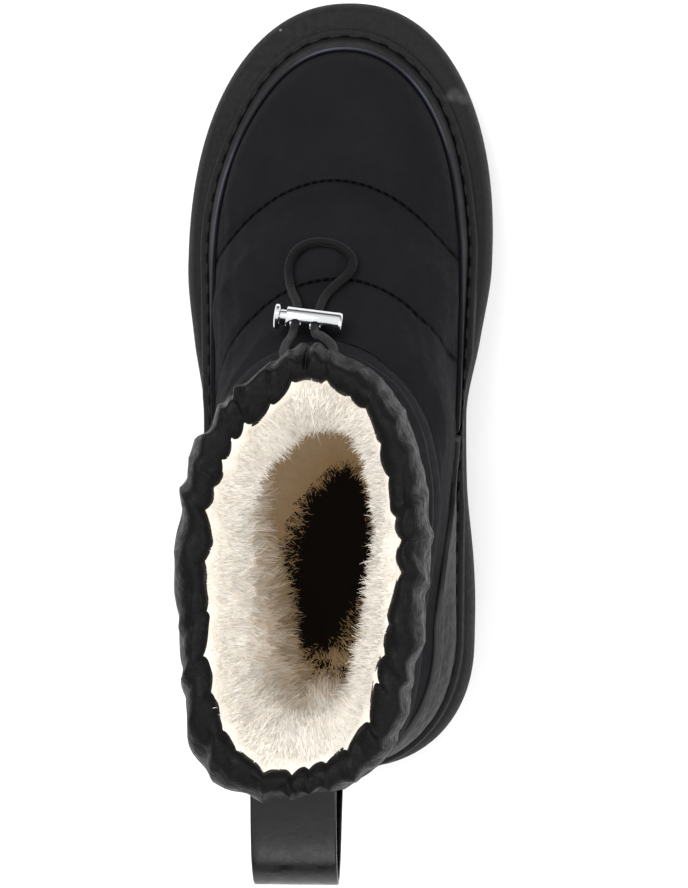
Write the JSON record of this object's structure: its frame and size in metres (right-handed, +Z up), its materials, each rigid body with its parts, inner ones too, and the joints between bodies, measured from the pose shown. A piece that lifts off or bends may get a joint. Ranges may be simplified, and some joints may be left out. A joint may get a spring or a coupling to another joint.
{
  "type": "nylon boot",
  "caption": "Padded nylon winter boot with a thick flanged sole, fur lining, gathered collar with drawcord and cord lock, and a leather pull loop.",
  "frame": {"origin": "on the ground, at the centre of the heel's round tread pad", "axes": "+Y to the toe, +Z up, +X to the inner side of the left foot"},
  "size_m": [0.112, 0.307, 0.19],
  "materials": {
    "outsole_rubber": "matte moulded rubber",
    "midsole_foam": "matte moulded foam rubber, fine grain",
    "insole_felt": "black felt",
    "padded_nylon": "matte dense nylon weave over padding",
    "rand_rubber": "glossy coated rubber",
    "leather": "smooth polished leather",
    "casing_nylon": "crinkled taffeta with a slight sheen",
    "shearling": "cream curly pile",
    "cord_elastic": "braided elastic",
    "chrome": "polished"
  },
  "bodies": {
    "boot": {"outsole": "outsole_rubber", "midsole": "midsole_foam", "insole": "insole_felt", "upper": "padded_nylon", "mudguard": "rand_rubber", "heel_counter": "leather", "collar_casing": "casing_nylon", "fur_lining": "shearling", "pull_loop": "leather", "drawcord": "cord_elastic", "cord_lock_barrel": "chrome"},
    "plunger": {"cord_lock_plunger": "chrome"}
  },
  "joints": [
    {"name": "plunger_press", "type": "slide", "parent": "boot", "child": "plunger", "axis": [0.9921, -0.1253, 0], "range_m": [0, 0.0018], "stiffness_N_per_m": 400, "springref_m": -0.003}
  ]
}
